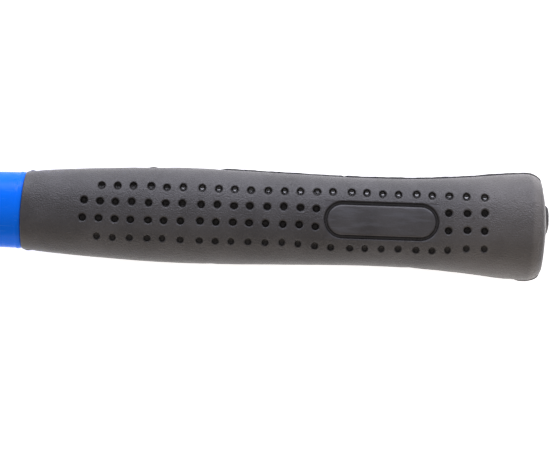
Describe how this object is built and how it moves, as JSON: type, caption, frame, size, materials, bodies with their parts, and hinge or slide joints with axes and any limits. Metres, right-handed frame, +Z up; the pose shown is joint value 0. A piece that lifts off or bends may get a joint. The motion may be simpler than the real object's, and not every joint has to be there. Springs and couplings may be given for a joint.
{
  "type": "ball peen hammer",
  "caption": "Metalworking hammer with a round striking face and a ball peen, on a glass-fibre cored plastic shaft with a dimpled rubber grip.",
  "frame": {"origin": "centre of the bounding box in X and Y, on the surface the hammer lies on", "axes": "+X along the handle from the head to the butt, +Y along the head from the striking face to the ball, +Z up through the thickness, from the cheek it lies on to the other cheek"},
  "size_m": [0.3314, 0.102, 0.03],
  "materials": {
    "forged_steel": "dark oiled forging with a bright ground face and ball",
    "glass_fibre": "pale pultruded glass fibre, sawn end",
    "blue_plastic": "bright blue glossy moulded polypropylene",
    "cured_resin": "amber cured epoxy",
    "grip_rubber": "black rubber with a dull satin sheen",
    "plug_rubber": "black rubber, slightly rougher"
  },
  "bodies": {
    "root": {"hammer_head": "forged_steel", "glass_core": "glass_fibre", "shaft_jacket": "blue_plastic", "eye_resin": "cured_resin", "grip_sleeve": "grip_rubber", "butt_plug": "plug_rubber"}
  },
  "joints": []
}
